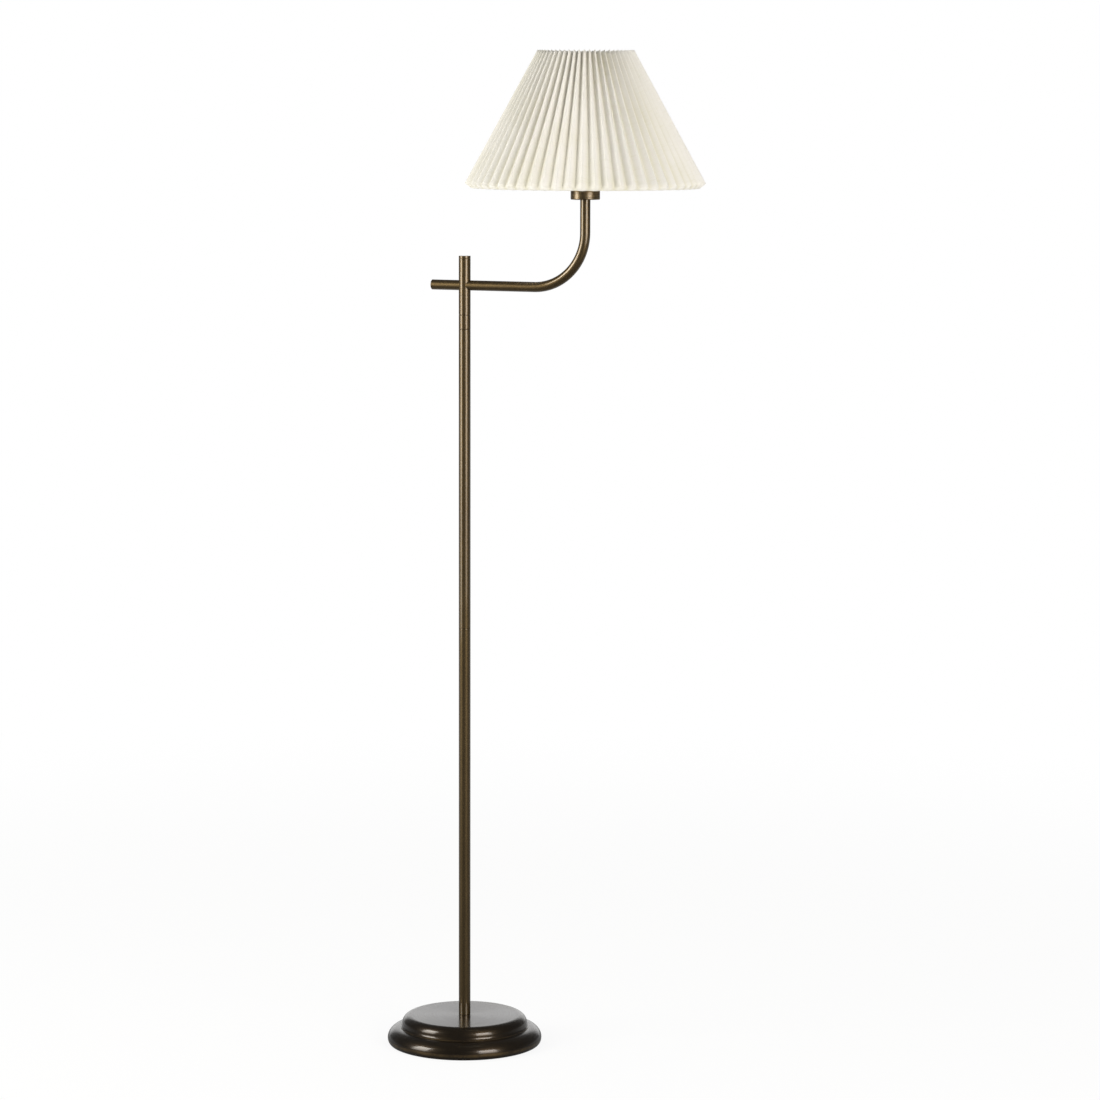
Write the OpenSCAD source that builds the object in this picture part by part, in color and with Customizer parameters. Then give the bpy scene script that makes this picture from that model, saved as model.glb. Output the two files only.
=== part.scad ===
// Bridge floor lamp. A weighted, stepped foot carries a two-piece pole. On the pole a short
// post swivels with a cross arm that bends up to a socket cup and a pleated shade.
// Z is up, the origin is the centre of the foot on the floor, and the arm points along +X.

/* [Foot] */
// Widest diameter of the foot, at its rolled bottom edge
base_d = 238; // [228:1:256]
// Height of the foot
base_h = 44.5; // [43:0.5:52]
// Diameter of the foot's upper step
step_d = 193; // [186:1:198]
// Width of the upper step's rounded shoulder
step_round_w = 14; // [10:0.5:16]
// Height of the upper step's rounded shoulder
step_round_h = 13; // [10:0.5:14]
// Width of the cove between the upper step and the dome
cove_w = 3; // [2:0.1:4]
// Height of the crease at the foot of the cove
crease_h = 26.5; // [24:0.5:28]
// Depth of the crease
crease_drop = 0.8; // [0.4:0.1:1.2]
// Height of the dome's widest line
roll_h = 9; // [7:0.5:10]
// Width of the edge that is rolled under the dome
roll_w = 5; // [3:0.5:6]
// Sheet thickness of the spun shell
shell_t = 1.5; // [1:0.1:2]
// Height of the shell's rim above the floor
shell_lift = 0.2; // [0.1:0.1:0.6]
// Thickness of the pad under the foot
pad_t = 2.5; // [1.5:0.1:3]
// Width of the lip that the pad is glued to
lip_w = 6; // [4:0.5:10]
// Height of the iron weight
weight_h = 23.5; // [18:0.5:24]
// Height of the cord bushing's axis
inlet_h = 14; // [12.5:0.5:16]
// Bore of the cord bushing
inlet_bore_d = 6.4; // [5:0.1:6.8]
// Outer diameter of the cord bushing's body
inlet_d = 8; // [7.8:0.1:9]

/* [Pole] */
// Outer diameter of the pole, collar and post
pole_d = 18; // [17:0.5:20]
// Wall of the pole's tubes
pole_wall = 1.2; // [1:0.1:1.4]
// Length of the lower pole
lower_len = 603.3; // [500:0.1:700]
// Length of the upper pole
upper_len = 457.1; // [400:0.1:560]
// Bevel at each end of a tube, which shows as a fine groove at a joint
end_bevel = 0.6; // [0.3:0.1:0.8]
// Diameter of the hollow screws that join the pole
nipple_d = 10; // [9:0.1:10.4]
// Bore of the hollow screws
nipple_bore_d = 7; // [6:0.1:7.4]
// Length of the pressed-in bushes
bush_len = 18; // [14:1:24]
// Depth of a screw in each bush
screw_depth = 16; // [12:1:18]

/* [Swivel] */
// Height of the collar under the post
collar_h = 21.5; // [18:0.5:26]
// Outer diameter of the spindle
spindle_d = 9.9; // [9:0.1:10.2]
// Bore of the spindle
spindle_bore_d = 6.6; // [6:0.1:7]
// Length of the post's bearing bush
bearing_len = 13.5; // [11:0.5:15]
// Diameter of the stop pin
stop_pin_d = 1.8; // [1.4:0.1:2]
// Radius on which the stop pin stands
stop_r = 6.35; // [6.2:0.05:6.4]
// Height of the stop pin above the collar
stop_rise = 2.6; // [2:0.1:3]
// How far the arm turns to each side
swivel_range = 150; // [90:5:155]

/* [Arm] */
// Length of the post, without its cap
post_len = 84.6; // [76:0.1:100]
// Thickness of the post's cap
cap_t = 5; // [3:0.1:8]
// Height of the arm's axis above the foot of the post
arm_rise = 45; // [40:0.1:52]
// Outer diameter of the arm
arm_d = 15.4; // [14.4:0.1:15.8]
// Wall of the arm's tube
arm_wall = 1.3; // [1:0.1:1.5]
// Distance from the pole's axis to the riser's axis
reach = 198.4; // [160:0.2:260]
// Length of the arm's stub behind the pole, with its end cap
stub_len = 54; // [40:1:90]
// Thickness of the stub's end cap
end_cap_t = 1.6; // [1:0.1:3]
// Bend radius of the arm's axis
bend_r = 82.5; // [60:0.5:100]
// Height of the cup's underside above the arm's axis
riser_h = 131.8; // [120:0.1:180]
// Diameter of the wiring hole between the post and the arm
wiring_hole_d = 7; // [6:0.1:8]

/* [Socket] */
// Outer diameter of the cup
cup_d = 44; // [43:0.5:50]
// Height of the cup
cup_h = 20; // [16:1:24]
// Wall of the cup
cup_wall = 1.2; // [1:0.1:1.6]
// Rounding of the cup's bottom edge
cup_round = 1.2; // [0.6:0.1:1.4]
// Outer diameter of the socket's lower housing
socket_d = 39; // [38:0.5:40]
// Outer diameter of the socket's threaded sleeve
sleeve_d = 33.4; // [32:0.1:34]
// Bore of the socket's sleeve
socket_bore_d = 28; // [27.8:0.1:28.6]
// Height of the shoulder that the shade's fitter rests on, above the socket's underside
shoulder_h = 44.5; // [42:0.5:48]
// Height of the threaded sleeve above the shoulder
sleeve_h = 18; // [15:0.5:22]
// Diameter of the switch shaft
shaft_d = 4; // [3:0.1:5]
// Diameter of the switch knob
knob_d = 13; // [11:0.5:14]
// Length of the switch knob
knob_len = 13; // [10:0.5:16]

/* [Bulb] */
// Diameter of the bulb
bulb_d = 60; // [50:1:64]
// Length of the bulb's glass
bulb_len = 84; // [74:1:92]
// Diameter of the bulb's screw cap
bulb_cap_d = 26.2; // [26:0.1:26.4]

/* [Shade] */
// Diameter over the pleats at the top
shade_top_d = 143.4; // [130:0.1:170]
// Diameter over the pleats at the hem
shade_bottom_d = 358.6; // [330:0.1:380]
// Height from the hem's widest line to the top
shade_h = 196.6; // [180:0.1:220]
// Height of the hem's widest line above the cup's underside
shade_lift = 24.1; // [22:0.1:34]
// Number of pleats
pleats = 58; // [54:1:60]
// Width of one side of a pleat
pleat_w = 11.1; // [10.9:0.1:12]
// Thickness of the lined cloth
cloth_t = 0.6; // [0.4:0.1:0.8]
// Diameter of the ring wires and the spokes
wire_d = 4; // [3:0.1:4.4]
// Diameter of the ribs
rib_d = 3; // [2:0.1:3.4]
// Number of ribs
ribs = 6; // [6:6:6]
// Outer diameter of the fitter ring
fitter_d = 46; // [44:1:50]

/* [Hidden] */
$fn = 96;

// Clearances between pieces that are pressed, screwed or brazed together, and between
// pieces that turn on each other.
press_fit = 0.02;
thread_fit = 0.05;
turn_fit = 0.06;
turn_gap = 0.1;
weld_gap = 0.1;
wire_gap = 0.3;

// Colours
bronze = [0.30, 0.23, 0.16];
base_bronze = [0.22, 0.18, 0.14];
antique_brass = [0.45, 0.36, 0.24];
steel = [0.70, 0.70, 0.70];
iron = [0.25, 0.25, 0.26];
black_rubber = [0.10, 0.10, 0.10];
ivory = [0.92, 0.90, 0.84];
yellow_brass = [0.75, 0.62, 0.32];
bakelite = [0.12, 0.09, 0.07];
frost = [0.95, 0.95, 0.93];

// Heights, each from the one below it
lower_z = base_h;
joint_z = lower_z + lower_len;
collar_z = joint_z + upper_len;
swivel_z = collar_z + collar_h;
post_z = swivel_z + turn_gap;
post_top_z = post_z + post_len;
arm_z = post_z + arm_rise;
cup_z = arm_z + riser_h;

// Tubes
pole_r = pole_d / 2;
pole_ri = pole_r - pole_wall;
bush_r = pole_ri - press_fit;
arm_r = arm_d / 2;
arm_ri = arm_r - arm_wall;
nipple_r = nipple_d / 2;
thread_r = nipple_r + thread_fit;

// ---- Foot ----

base_r = base_d / 2;
step_r = step_d / 2;
shell_in_z = base_h - shell_t;
step_round_x = step_r - step_round_w;
step_round_z = base_h - step_round_h;
dome_x = step_r + cove_w;
dome_z = crease_h - crease_drop;
lip_z = pad_t + shell_lift;
lip_top_z = lip_z + shell_t;
rim_flat = 1.8;
rim_in_r = base_r - roll_w - rim_flat;
pad_gap = 0.3;
weight_z = shell_in_z - weight_h;
weight_bevel = 4;
washer_d = 40;
washer_t = 1.6;
nut_h = 5.4;
nut_af = 17;
nut_z = weight_z - washer_t - nut_h;
nipple_z = nut_z - 0.5;

// Points of an elliptical arc from angle a0 to a1
function arc_points(x, z, rx, rz, a0, a1, n) =
    [for (i = [0:n]) let (a = a0 + (a1 - a0) * i / n) [x + rx * cos(a), z + rz * sin(a)]];

function reversed(points) = [for (i = [len(points) - 1:-1:0]) points[i]];

// Outline of the foot from its flat top down to its widest line, drawn in by e: rounded
// shoulder, cove, crease, then the dome
function foot_outline(e) = concat(
    arc_points(step_round_x, step_round_z, step_round_w - e, step_round_h - e, 90, 0, 8),
    arc_points(dome_x, step_round_z, cove_w + e, step_round_z - crease_h + e, 190, 255, 5),
    arc_points(dome_x, roll_h, base_r - dome_x - e, dome_z - roll_h - e, 90, 0, 9));

// Outline of the rolled edge from just under the widest line to angle a1, drawn in by e
function roll_outline(e, a1) =
    arc_points(base_r - roll_w, roll_h, roll_w - e, roll_h - shell_lift - e, -10, a1, 7);

// Angle at which the inside of the rolled edge meets the lip
lip_angle = -asin((roll_h - lip_top_z) / (roll_h - shell_lift - shell_t));

module base_shell() {
    hole_r = thread_r;
    color(base_bronze)
    difference() {
        rotate_extrude($fn = 180)
            polygon(concat(
                [[hole_r, base_h]],
                foot_outline(0),
                roll_outline(0, -90),
                [[rim_in_r, shell_lift],
                 [rim_in_r, lip_z],
                 [rim_in_r - lip_w, lip_z],
                 [rim_in_r - lip_w, lip_top_z]],
                reversed(roll_outline(shell_t, lip_angle)),
                reversed(foot_outline(shell_t)),
                [[hole_r, shell_in_z]]));
        translate([0, base_r, inlet_h])
            rotate([90, 0, 0])
            cylinder(d = inlet_d + 2 * thread_fit, h = base_r - dome_x);
    }
}

module base_weight() {
    r = step_round_x + weight_bevel / 2;
    color(iron)
    rotate_extrude()
        polygon([[thread_r, weight_z],
            [r - weight_bevel, weight_z],
            [r, weight_z + weight_bevel],
            [r, shell_in_z - weight_bevel],
            [r - weight_bevel, shell_in_z],
            [thread_r, shell_in_z]]);
}

module base_pad() {
    color(black_rubber)
    cylinder(r = rim_in_r - pad_gap, h = pad_t);
}

module base_washer() {
    color(steel)
    translate([0, 0, weight_z - washer_t])
        difference() {
            cylinder(d = washer_d, h = washer_t);
            translate([0, 0, -1])
                cylinder(r = thread_r, h = washer_t + 2);
        }
}

// Six-sided nut of width af across its flats
module hex_nut(af, h, bore_r) {
    difference() {
        cylinder(d = af / cos(30), h = h, $fn = 6);
        translate([0, 0, -1])
            cylinder(r = bore_r, h = h + 2, $fn = 96);
    }
}

module base_nut() {
    color(steel)
    translate([0, 0, nut_z])
        hex_nut(nut_af, nut_h, thread_r);
}

// Straight tube standing on the pole's axis
module tube(z0, z1, outer_r, inner_r) {
    translate([0, 0, z0])
        difference() {
            cylinder(r = outer_r, h = z1 - z0);
            translate([0, 0, -1])
                cylinder(r = inner_r, h = z1 - z0 + 2);
        }
}

module base_nipple() {
    color(steel)
    tube(nipple_z, lower_z + screw_depth, nipple_r, nipple_bore_d / 2);
}

inlet_in_y = base_r - 13;
inlet_flange_r = inlet_d / 2 + 1.2;
inlet_flange_t = 1.9;

// Grommet whose outer flange is hollowed to lie on the foot's rounded side
module cord_bushing() {
    color(black_rubber)
    difference() {
        union() {
            translate([0, base_r + 0.6, inlet_h])
                rotate([90, 0, 0])
                cylinder(d = inlet_d, h = base_r + 0.6 - inlet_in_y);
            difference() {
                translate([0, base_r + 0.6, inlet_h])
                    rotate([90, 0, 0])
                    cylinder(r = inlet_flange_r, h = inlet_flange_r);
                rotate_extrude($fn = 180)
                    polygon(concat([[0, base_h + 1]], foot_outline(-weld_gap),
                        roll_outline(-weld_gap, -90), [[0, shell_lift - weld_gap]]));
            }
            translate([0, inlet_in_y + inlet_flange_t, inlet_h])
                rotate([90, 0, 0])
                cylinder(r = inlet_flange_r, h = inlet_flange_t);
        }
        translate([0, base_r + 2, inlet_h])
            rotate([90, 0, 0])
            cylinder(d = inlet_bore_d, h = base_r);
    }
}

// ---- Pole ----

// Tube with bevelled ends
module bevelled_tube(z0, z1, outer_r, inner_r, bevel0, bevel1) {
    rotate_extrude()
        polygon([[inner_r, z0],
            [outer_r - bevel0, z0],
            [outer_r, z0 + bevel0],
            [outer_r, z1 - bevel1],
            [outer_r - bevel1, z1],
            [inner_r, z1]]);
}

// Bush pressed into a tube, bored for a hollow screw
module bush(z0, z1, bore_r) {
    tube(z0, z1, bush_r, bore_r);
}

module lower_pole() {
    color(bronze)
    bevelled_tube(lower_z, joint_z, pole_r, pole_ri, end_bevel / 2, end_bevel);
}

module lower_foot_bush() {
    color(steel)
    bush(lower_z, lower_z + bush_len, thread_r);
}

module lower_head_bush() {
    color(steel)
    bush(joint_z - bush_len, joint_z, thread_r);
}

module pole_coupler() {
    color(steel)
    tube(joint_z - screw_depth, joint_z + screw_depth, nipple_r, nipple_bore_d / 2);
}

module upper_pole() {
    color(bronze)
    bevelled_tube(joint_z, collar_z, pole_r, pole_ri, end_bevel, end_bevel);
}

module upper_foot_bush() {
    color(steel)
    bush(joint_z, joint_z + bush_len, thread_r);
}

module upper_head_bush() {
    color(steel)
    bush(collar_z - bush_len, collar_z, spindle_r + thread_fit);
}

// ---- Swivel ----

spindle_r = spindle_d / 2;
stop_depth = 5;
stop_margin = 0.4;
bearing_z = post_z;
bearing_top = bearing_z + bearing_len;
friction_z = bearing_top + turn_gap;
friction_t = 1;
spring_h = 1.6;
spring_t = 0.8;
swivel_nut_h = 6;
swivel_nut_af = 2 * (pole_ri - 0.4) * cos(30);
spring_z = friction_z + friction_t;
swivel_nut_z = spring_z + spring_h;
spindle_top = swivel_nut_z + swivel_nut_h + 1;

module swivel_collar() {
    color(bronze)
    difference() {
        bevelled_tube(collar_z, swivel_z, pole_r, spindle_r + thread_fit, end_bevel, end_bevel);
        translate([-stop_r, 0, swivel_z - stop_depth])
            cylinder(d = stop_pin_d + 2 * press_fit, h = stop_depth + 1);
    }
}

module swivel_spindle() {
    color(steel)
    tube(collar_z - screw_depth, spindle_top, spindle_r, spindle_bore_d / 2);
}

module swivel_stop_pin() {
    color(steel)
    translate([-stop_r, 0, swivel_z - stop_depth])
        cylinder(d = stop_pin_d, h = stop_depth + stop_rise);
}

module swivel_washer() {
    color(black_rubber)
    tube(friction_z, spring_z, pole_ri - 0.4, spindle_r + thread_fit);
}

// Cone washer that keeps the swivel tight
module swivel_spring() {
    color(steel)
    rotate_extrude()
        polygon([[spindle_r + 0.3, spring_z + spring_h - spring_t],
            [pole_ri - 0.7, spring_z],
            [pole_ri - 0.7, spring_z + spring_t],
            [spindle_r + 0.3, spring_z + spring_h]]);
}

module swivel_nut() {
    color(steel)
    translate([0, 0, swivel_nut_z])
        hex_nut(swivel_nut_af, swivel_nut_h, spindle_r + thread_fit);
}

// Bearing bush of the post. Its lower end is cut away except for a tooth, which meets the
// stop pin at both ends of the arm's travel.
module post_bearing() {
    half = swivel_range + asin((stop_pin_d / 2 + stop_margin / 2) / stop_r);
    color(steel)
    difference() {
        bush(bearing_z, bearing_top, spindle_r + turn_fit);
        rotate([0, 0, 180 - half])
            translate([0, 0, bearing_z - 1])
            rotate_extrude(angle = 2 * half)
            translate([spindle_r - 1, 0])
            square([pole_r - spindle_r + 1, stop_rise + stop_margin + 1]);
    }
}

// ---- Post and arm ----

braze_gap = 0.05;
cap_stem = 8;
cap_bevel = 0.5;
plug_top = cup_z + 12;
plug_depth = 14;

module arm_post() {
    color(bronze)
    difference() {
        bevelled_tube(post_z, post_top_z, pole_r, pole_ri, end_bevel, end_bevel / 2);
        translate([-pole_d, 0, arm_z])
            rotate([0, 90, 0])
            cylinder(r = arm_r + braze_gap, h = 2 * pole_d);
    }
}

// Turned cap with a stem that is pressed into a tube; it lies on z = 0
module stem_cap(outer_r, stem_r, cap_h, stem_h, bevel) {
    rotate_extrude()
        polygon([[0, -stem_h],
            [stem_r, -stem_h],
            [stem_r, 0],
            [outer_r - bevel / 2, 0],
            [outer_r, bevel / 2],
            [outer_r, cap_h - bevel],
            [outer_r - bevel, cap_h],
            [0, cap_h]]);
}

module post_cap() {
    color(bronze)
    translate([0, 0, post_top_z])
        stem_cap(pole_r, bush_r, cap_t, cap_stem, cap_bevel);
}

// Sweep of a round section along the arm's axis
module arm_sweep(r) {
    translate([-stub_len + end_cap_t, 0, arm_z])
        rotate([0, 90, 0])
        cylinder(r = r, h = stub_len - end_cap_t + reach - bend_r);
    translate([reach - bend_r, 0, arm_z + bend_r])
        rotate([90, 0, 0])
        rotate([0, 0, -90])
        rotate_extrude(angle = 90)
        translate([bend_r, 0])
        circle(r = r);
    translate([reach, 0, arm_z + bend_r])
        cylinder(r = r, h = riser_h - bend_r);
}

module arm_tube() {
    color(bronze)
    difference() {
        arm_sweep(arm_r);
        arm_sweep(arm_ri);
        translate([0, 0, arm_z - arm_r - 1])
            cylinder(d = wiring_hole_d, h = arm_r);
    }
}

module arm_end_cap() {
    color(bronze)
    translate([-stub_len + end_cap_t, 0, arm_z])
        rotate([0, -90, 0])
        stem_cap(arm_r, arm_ri - press_fit, end_cap_t, cap_stem, cap_bevel);
}

// Hollow stepped screw pressed into the riser's end
module riser_plug() {
    color(steel)
    translate([reach, 0, 0])
        difference() {
            union() {
                translate([0, 0, cup_z - plug_depth])
                    cylinder(r = arm_ri - press_fit, h = plug_depth);
                translate([0, 0, cup_z - 1])
                    cylinder(r = nipple_r, h = plug_top - cup_z + 1);
            }
            translate([0, 0, cup_z - plug_depth - 1])
                cylinder(d = spindle_bore_d, h = plug_top - cup_z + plug_depth + 2);
        }
}

// ---- Cup and socket ----

cup_r = cup_d / 2;
cup_floor = 1.5;
cup_nut_h = 4;
cup_nut_af = 16;
socket_z = cup_z + cup_floor + cup_nut_h;
socket_floor = 6.5;
chamber_r = 15;
chamber_top = 28.5;
divider_t = 4;
shell_r = socket_bore_d / 2 - press_fit;
shell_wall = 0.4;
shell_z = socket_z + chamber_top + divider_t;
shoulder_z = socket_z + shoulder_h;
socket_top = shoulder_z + sleeve_h;
shaft_z = socket_z + 20.5;
block_w = 14;
block_h = 14;
shaft_in = 3;
knob_y = cup_r + 2;

module socket_cup() {
    color(antique_brass)
    translate([reach, 0, 0])
        rotate_extrude()
        polygon(concat(
            [[thread_r, cup_z + cup_floor], [thread_r, cup_z]],
            arc_points(cup_r - cup_round, cup_z + cup_round, cup_round, cup_round, -90, 0, 5),
            [[cup_r, cup_z + cup_h - 0.3],
             [cup_r - 0.3, cup_z + cup_h],
             [cup_r - cup_wall, cup_z + cup_h],
             [cup_r - cup_wall, cup_z + cup_floor]]));
}

module cup_nut() {
    color(steel)
    translate([reach, 0, cup_z + cup_floor])
        hex_nut(cup_nut_af, cup_nut_h, thread_r);
}

module socket_body() {
    color(bakelite)
    translate([reach, 0, 0])
        difference() {
            rotate_extrude()
                polygon([[thread_r, socket_z],
                    [socket_d / 2 - 1, socket_z],
                    [socket_d / 2, socket_z + 1],
                    [socket_d / 2, shoulder_z],
                    [sleeve_d / 2, shoulder_z],
                    [sleeve_d / 2, socket_top],
                    [socket_bore_d / 2, socket_top],
                    [socket_bore_d / 2, shell_z],
                    [thread_r, shell_z],
                    [thread_r, socket_z + chamber_top],
                    [chamber_r, socket_z + chamber_top],
                    [chamber_r, socket_z + socket_floor],
                    [thread_r, socket_z + socket_floor]]);
            translate([0, 0, shaft_z])
                rotate([90, 0, 0])
                cylinder(d = shaft_d + 2 * turn_fit, h = socket_d);
        }
}

module screw_shell() {
    color(yellow_brass)
    translate([reach, 0, 0])
        tube(shell_z, socket_top - 3, shell_r, shell_r - shell_wall);
}

contact_h = 2.4;
contact_r = 3;

// Spring tongue over the divider's hole, with a raised pip in the middle
module centre_contact() {
    color(yellow_brass)
    translate([reach, 0, shell_z]) {
        translate([-8, -contact_r, 0])
            cube([16, 2 * contact_r, 0.6]);
        cylinder(r = contact_r, h = contact_h);
    }
}

module switch_block() {
    color(bakelite)
    translate([reach, 0, 0])
        difference() {
            translate([-block_w / 2, -block_w / 2, socket_z + socket_floor])
                cube([block_w, block_w, block_h + 1]);
            translate([0, 0, shaft_z])
                rotate([90, 0, 0])
                cylinder(d = shaft_d + 2 * turn_fit, h = block_w);
            translate([0, 0, socket_z + socket_floor - 1])
                cylinder(r = thread_r, h = 3);
        }
}

module switch_shaft() {
    color(yellow_brass)
    translate([reach, -shaft_in, shaft_z])
        rotate([90, 0, 0])
        cylinder(d = shaft_d, h = knob_y + knob_len - 3 - shaft_in);
}

// Fluted turn knob on the end of the shaft
module switch_knob() {
    flutes = 10;
    color(bakelite)
    translate([reach, -knob_y, shaft_z])
        rotate([90, 0, 0])
        difference() {
            rotate_extrude()
                polygon([[0, 0],
                    [knob_d / 2 - 1, 0],
                    [knob_d / 2, 1],
                    [knob_d / 2 - 0.5, knob_len - 1.5],
                    [knob_d / 2 - 2, knob_len],
                    [0, knob_len]]);
            translate([0, 0, -1])
                cylinder(r = shaft_d / 2 + press_fit, h = knob_len - 3 + 1 + press_fit);
            for (i = [0:flutes - 1])
                rotate([0, 0, 360 * i / flutes])
                translate([knob_d / 2 + 0.9, 0, 3])
                cylinder(r = 1.6, h = knob_len);
        }
}

// ---- Bulb ----

bulb_r = bulb_d / 2;
bulb_cap_r = bulb_cap_d / 2;
tip_z = shell_z + contact_h + 0.1;
tip_h = 1.6;
tip_r = 4.6;
cap_z = tip_z + tip_h;
bulb_cap_h = 24;
bulb_cap_wall = 0.5;
neck_depth = 6;
neck_z = cap_z + bulb_cap_h - neck_depth;
glass_top = neck_z + bulb_len;
glass_t = 1;

// Half outline of the bulb, drawn in by e: a round head that narrows to the neck in a cosine
function bulb_outline(e) =
    let (head_z = glass_top - bulb_r,
        turn = -40,
        neck_r = bulb_cap_r - bulb_cap_wall - 0.1,
        shoulder_r = bulb_r * cos(turn),
        shoulder_z0 = head_z + bulb_r * sin(turn),
        throat_z = neck_z + neck_depth + 3)
    concat(
        [[neck_r - e, neck_z], [neck_r - e, throat_z]],
        [for (i = [1:7])
            let (k = i / 8)
            [neck_r + (shoulder_r - neck_r) * (1 - cos(180 * k * 0.72)) / (1 - cos(180 * 0.72)) - e,
             throat_z + (shoulder_z0 - throat_z) * k]],
        arc_points(0, head_z, bulb_r - e, bulb_r - e, turn, 90, 16));

module bulb_glass() {
    color(frost)
    translate([reach, 0, 0])
        rotate_extrude()
        polygon(concat(bulb_outline(0), reversed(bulb_outline(glass_t))));
}

module bulb_cap() {
    color(steel)
    translate([reach, 0, cap_z])
        difference() {
            cylinder(r = bulb_cap_r, h = bulb_cap_h);
            translate([0, 0, 1.5])
                cylinder(r = bulb_cap_r - bulb_cap_wall, h = bulb_cap_h);
        }
}

module bulb_contact() {
    color(yellow_brass)
    translate([reach, 0, tip_z])
        cylinder(r1 = tip_r - 2, r2 = tip_r, h = tip_h);
}

// ---- Shade ----
// In the plane of one fold a point is [radius, height]. Folds 0, 2, 4 are ridges and the
// others valleys. The pleats' sides keep one width, so the folds are deep at the narrow
// top and shallow at the wide hem.

hem_z = cup_z + shade_lift;
shade_top_z = hem_z + shade_h;
top_r = shade_top_d / 2;
hem_r = shade_bottom_d / 2;
slope = atan((hem_r - top_r) / shade_h);
inward = [-cos(slope), -sin(slope)];
wire_r = wire_d / 2;
rib_r = rib_d / 2;
hem_ease = 2.4;
hem_ridge = 2;
hem_valley = 1.2;
top_ring_drop = 8;

// Half the distance between two ridges on a circle of radius r
function half_pitch(r) = PI * r / pleats;

// Depth of a fold whose ridge is at radius r: each side of the pleat is pleat_w wide
function fold_depth(r) =
    let (middle = r - 0.45 * pleat_w * cos(slope))
    sqrt(pow(pleat_w, 2) - pow(half_pitch(middle), 2));

// How far the inner skin lies behind the outer one, so that each side is cloth_t thick
function skin_depth(r) = cloth_t * pleat_w / half_pitch(r);

top_ridge = [top_r, shade_top_z];
top_valley = top_ridge + fold_depth(top_r) * inward;
hem_ridge_point = [hem_r, hem_z];
hem_valley_point = hem_ridge_point + fold_depth(hem_r) * inward;

// Centre of the bottom ring's wire, round which the hem is rolled
bottom_wire = [hem_valley_point[0] - wire_r - hem_ease, hem_valley_point[1] - wire_gap];

// Centre of the top ring's wire, behind the valleys
valley_run = [hem_valley_point[0] - top_valley[0], top_valley[1] - hem_valley_point[1]];
valley_dir = [valley_run[0], -valley_run[1]] / norm(valley_run);
top_wire = top_valley + top_ring_drop * valley_dir
    + (skin_depth(top_r) + wire_r + wire_gap) * inward;

// Point on the hem's roll at angle a round the bottom wire, lift away from its surface
function roll_point(a, lift) = bottom_wire + (wire_r + lift) * [cos(a), sin(a)];

// One fold from the top to the hem's lip, on the outer skin (inner = 0) or inner skin (1)
function fold_line(ridge, inner) =
    let (ease = (ridge ? hem_ridge : hem_valley) - inner * cloth_t,
        top = (ridge ? top_ridge : top_valley) + inner * skin_depth(top_r) * inward,
        hem = (ridge ? hem_ridge_point : hem_valley_point) + inner * skin_depth(hem_r) * inward)
    [top, (top + hem) / 2, hem, roll_point(-40, ease), roll_point(-100, ease)];

function turned(p, a) = [p[0] * cos(a), p[0] * sin(a), p[1]];

module shade_fabric() {
    folds = 2 * pleats;
    outer = [fold_line(true, 0), fold_line(false, 0)];
    inner = [reversed(fold_line(true, 1)), reversed(fold_line(false, 1))];
    rows = len(outer[0]);
    loop = 2 * rows;
    points = [for (i = [0:folds - 1])
        each [for (p = concat(outer[i % 2], inner[i % 2])) turned(p, 180 * i / pleats)]];
    // Both skins of a side are split along the same diagonal
    faces = [for (i = [0:folds - 1])
        for (j = [0:loop - 1])
        let (a = i * loop + j,
            b = i * loop + (j + 1) % loop,
            c = ((i + 1) % folds) * loop + (j + 1) % loop,
            d = ((i + 1) % folds) * loop + j)
        each ((i % 2 == 0) == (j < rows) ? [[c, b, a], [d, c, a]] : [[d, b, a], [d, c, b]])];
    color(ivory)
    translate([reach, 0, 0])
        polyhedron(points, faces, convexity = 10);
}

module wire_ring(wire) {
    translate([reach, 0, wire[1]])
        rotate_extrude($fn = 180)
        translate([wire[0], 0])
        circle(r = wire_r, $fn = 32);
}

module shade_bottom_ring() {
    color(ivory)
    wire_ring(bottom_wire);
}

module shade_top_ring() {
    color(ivory)
    wire_ring(top_wire);
}

// Straight wire of radius r between two [radius, height] points in the plane y = 0
module straight_wire(p, q, r) {
    run = q - p;
    translate([p[0], 0, p[1]])
        rotate([0, atan2(run[0], run[1]), 0])
        cylinder(r = r, h = norm(run), $fn = 32);
}

function toward(p, q) = (q - p) / norm(q - p);

module shade_ribs() {
    dir = toward(top_wire, bottom_wire);
    color(ivory)
    for (i = [0:ribs - 1])
        translate([reach, 0, 0])
        rotate([0, 0, 360 * i / ribs])
        straight_wire(top_wire + (wire_r + weld_gap) * dir,
            bottom_wire - (wire_r + weld_gap) * dir, rib_r);
}

fitter_t = 2;
nut_ring_h = 6;
spokes = 3;

module shade_fitter() {
    start = [fitter_d / 2 - wire_r, shoulder_z + fitter_t - wire_r / 2];
    dir = toward(start, bottom_wire);
    color(ivory)
    translate([reach, 0, 0])
        difference() {
            union() {
                translate([0, 0, shoulder_z])
                    cylinder(d = fitter_d, h = fitter_t);
                for (i = [0:spokes - 1])
                    rotate([0, 0, 90 + 360 * i / spokes])
                    straight_wire(start, bottom_wire - (wire_r + weld_gap) * dir, wire_r);
            }
            translate([0, 0, shoulder_z - wire_d])
                cylinder(r = sleeve_d / 2 + thread_fit, h = fitter_t + 2 * wire_d);
        }
}

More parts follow.
